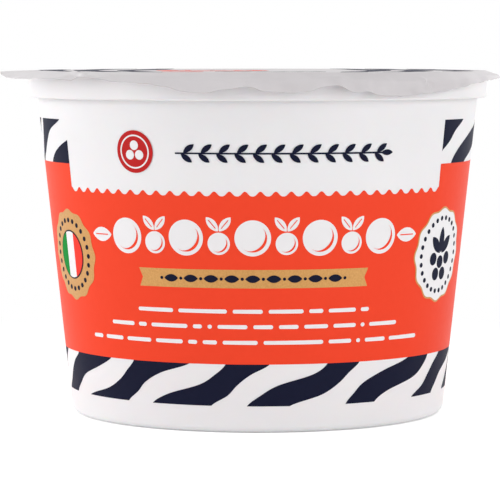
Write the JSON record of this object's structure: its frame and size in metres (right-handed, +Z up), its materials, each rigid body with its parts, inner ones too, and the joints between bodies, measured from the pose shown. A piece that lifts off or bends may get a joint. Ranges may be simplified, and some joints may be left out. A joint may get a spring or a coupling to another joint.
{
  "type": "sealed food tub",
  "caption": "Round tapered plastic tub of soft cheese pearls, printed all round and sealed with a peel-off film whose loose margin droops over a skirted collar.",
  "frame": {"origin": "centre of the flat base, on the tub's axis", "axes": "+Z up along the tub's axis, -Y towards the side that carries the front of the print, +X to that side's right"},
  "size_m": [0.1036, 0.1008, 0.0707],
  "materials": {
    "tub_plastic": "satin white moulding",
    "lidding_film": "thin pale grey film, printed on top",
    "label_print": "in-mould label print"
  },
  "bodies": {
    "root": {"tub": "tub_plastic", "lid_film": "lidding_film"}
  },
  "joints": []
}
